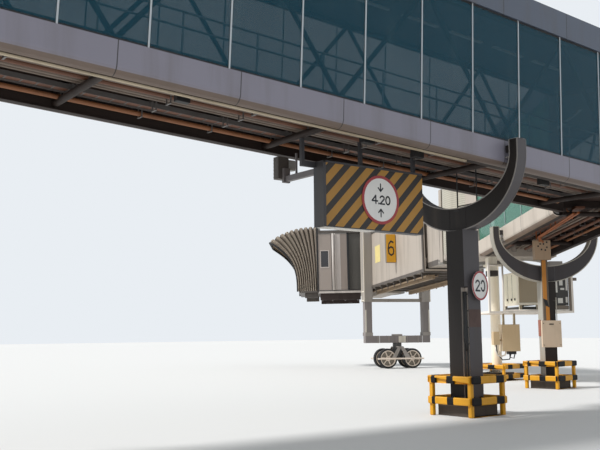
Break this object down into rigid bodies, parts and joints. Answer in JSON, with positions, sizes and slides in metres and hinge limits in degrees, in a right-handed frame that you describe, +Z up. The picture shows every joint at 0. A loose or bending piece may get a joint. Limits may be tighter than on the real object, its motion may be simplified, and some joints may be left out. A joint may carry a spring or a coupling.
{
  "type": "jet bridge",
  "caption": "Glazed walkway on curved yokes and columns, turning a corner to a rotunda, a telescopic tunnel on a wheeled lift, and a turning cab with a folding canopy.",
  "frame": {"origin": "under the middle of the near column's plinth, at ground level", "axes": "+X along the main walkway towards the corner, +Y away towards the aircraft stand, +Z up"},
  "size_m": [36.831, 32.4832, 11.0983],
  "materials": {
    "walkway_frame": "dull brown primer",
    "side_panel": "satin lilac grey",
    "branch_panel": "satin cream",
    "roof_panel": "satin grey",
    "wall_glass": "tinted",
    "truss": "dark slate",
    "yoke": "dark slate, dull",
    "concrete": "rough cast concrete",
    "barrier": "safety yellow and black",
    "sign_face": "striped",
    "dark_steel": "dull",
    "disc": "satin",
    "box_cream": "satin",
    "pipe": "dull orange brown",
    "column_cream": "satin",
    "bridge_panel": "satin beige",
    "curtain": "ribbed slats",
    "turning_steel": "satin",
    "lift_steel": "satin",
    "tyre": "worn",
    "cab_panel": "satin",
    "canopy": "matt"
  },
  "bodies": {
    "fixed_walkway": {"main_deck": "walkway_frame", "main_edge_beams": "walkway_frame", "main_cross_beams": "walkway_frame", "main_side_panels": "side_panel", "main_glass": "wall_glass", "main_truss_near": "truss", "main_truss_far": "truss", "main_roof": "roof_panel", "main_roof_panels": "roof_panel", "branch_deck": "walkway_frame", "branch_edge_beams": "walkway_frame", "branch_cross_beams": "walkway_frame", "branch_side_panels": "branch_panel", "branch_glass": "wall_glass", "branch_truss_left": "truss", "branch_truss_right": "truss", "branch_roof": "roof_panel", "branch_roof_panels": "roof_panel", "corner_collar": "roof_panel", "service_pipes": "pipe", "end_yoke": "yoke", "near_yoke": "yoke", "branch_yoke": "yoke", "end_column": "yoke", "near_column": "yoke", "branch_column": "yoke", "plinths": "concrete", "near_barrier": "barrier", "branch_barrier": "barrier", "rotunda_barrier": "barrier", "clearance_sign": "sign_face", "sign_frame": "dark_steel", "speed_sign": "disc", "column_boxes": "box_cream", "rotunda_column": "column_cream", "rotunda_floor": "bridge_panel", "rotunda_curtain": "curtain", "rotunda_roof": "bridge_panel", "rotunda_portal": "bridge_panel", "service_platform": "column_cream", "air_units": "box_cream"},
    "turning_frame": {"slew_frame": "turning_steel"},
    "inner_tunnel": {"inner_floor": "bridge_panel", "inner_walls": "bridge_panel", "inner_roof": "bridge_panel"},
    "outer_tunnel": {"outer_floor": "bridge_panel", "outer_walls": "bridge_panel", "outer_roof": "bridge_panel", "lift_housings": "lift_steel"},
    "carriage": {"lift_carriage": "lift_steel"},
    "steered_bogie": {"bogie": "lift_steel"},
    "left_wheel": {"wheel_left": "tyre"},
    "right_wheel": {"wheel_right": "tyre"},
    "cab": {"cab_floor": "cab_panel", "cab_walls": "cab_panel", "cab_roof": "cab_panel", "cab_canopy": "canopy"}
  },
  "joints": [
    {"name": "tunnel_swing", "type": "hinge", "parent": "fixed_walkway", "child": "turning_frame", "pos_m": [12.582, 9.806, 5.024], "axis": [0, 0, 1], "range_deg": [-20, 20]},
    {"name": "tunnel_pitch", "type": "hinge", "parent": "turning_frame", "child": "inner_tunnel", "pos_m": [13.6704, 12.2505, 5.1665], "axis": [0.9135, -0.4067, 0], "range_deg": [-1.5, 2]},
    {"name": "tunnel_extend", "type": "slide", "parent": "inner_tunnel", "child": "outer_tunnel", "axis": [0.4064, 0.9128, -0.0401], "range_m": [-1.2, 3]},
    {"name": "lift_travel", "type": "slide", "parent": "outer_tunnel", "child": "carriage", "axis": [0, 0, -1], "range_m": [-0.4, 0.4]},
    {"name": "bogie_steer", "type": "hinge", "parent": "carriage", "child": "steered_bogie", "pos_m": [17.8247, 21.5812, 1], "axis": [0, 0, 1], "range_deg": [-75, 75]},
    {"name": "left_wheel_spin", "type": "hinge", "parent": "steered_bogie", "child": "left_wheel", "pos_m": [17.1624, 21.8761, 0.56], "axis": [0.4067, 0.9135, 0], "continuous": true},
    {"name": "right_wheel_spin", "type": "hinge", "parent": "steered_bogie", "child": "right_wheel", "pos_m": [18.487, 21.2864, 0.56], "axis": [0.4067, 0.9135, 0], "continuous": true},
    {"name": "cab_turn", "type": "hinge", "parent": "outer_tunnel", "child": "cab", "pos_m": [19.3487, 25.0042, 4.4056], "axis": [0.0163, 0.0367, 0.9992], "range_deg": [-45, 10]}
  ],
  "couplings": [
    {"joint": "lift_travel", "follows": "tunnel_pitch", "m_per_rad": 10.22}
  ]
}
